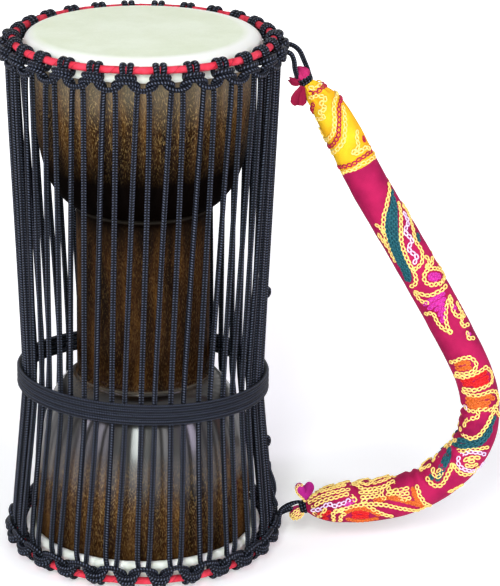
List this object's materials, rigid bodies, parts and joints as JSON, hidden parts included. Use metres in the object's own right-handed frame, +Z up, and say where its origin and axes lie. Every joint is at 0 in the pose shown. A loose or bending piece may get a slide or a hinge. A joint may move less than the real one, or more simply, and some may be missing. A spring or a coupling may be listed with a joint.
{
  "type": "talking drum",
  "caption": "Hourglass hand drum with a skin head at each end, rope-laced tension cords, a waist belt and a padded embroidered carrying strap.",
  "frame": {"origin": "centre of the lower head's flat outer face, on which the drum stands", "axes": "+Z up along the drum's axis, +X towards the carrying strap, -Y towards the viewer of the picture"},
  "size_m": [0.3895, 0.2175, 0.417],
  "materials": {
    "stained_wood": "dark stained hardwood under gloss lacquer",
    "goatskin": "pale scraped goatskin, satin",
    "steel": "plain drawn steel rod",
    "red_cloth": "red cotton strip, wound",
    "black_rope": "black braided polyester rope",
    "embroidered_cloth": "crimson and yellow cotton with chain-stitch embroidery",
    "filling": "rag and fibre filling"
  },
  "bodies": {
    "drum": {"shell": "stained_wood", "head_top": "goatskin", "head_bottom": "goatskin", "flesh_hoop_top": "steel", "flesh_hoop_bottom": "steel", "crown_ring_top": "steel", "crown_ring_bottom": "steel", "ring_wrap_top": "red_cloth", "ring_wrap_bottom": "red_cloth", "cradle_rope_top": "black_rope", "cradle_rope_bottom": "black_rope", "tension_rope": "black_rope", "strand_knot_upper": "black_rope", "strand_knot_lower": "black_rope", "lacing_tail": "black_rope"},
    "belt": {"waist_belt": "black_rope"},
    "strap": {"strap_cover": "embroidered_cloth", "strap_filling": "filling", "strap_tie_top": "black_rope", "strap_tie_bottom": "black_rope"}
  },
  "joints": [
    {"name": "belt_slide", "type": "slide", "parent": "drum", "child": "belt", "axis": [0, 0, 1], "range_m": [-0.03, 0.044], "deforming": ["tension_rope"]},
    {"name": "strap_swing", "type": "hinge", "parent": "drum", "child": "strap", "pos_m": [0.103, 0, 0.2085], "axis": [0, 0, 1], "range_deg": [-45, 45], "deforming": ["strap_tie_top", "strap_tie_bottom"]}
  ]
}
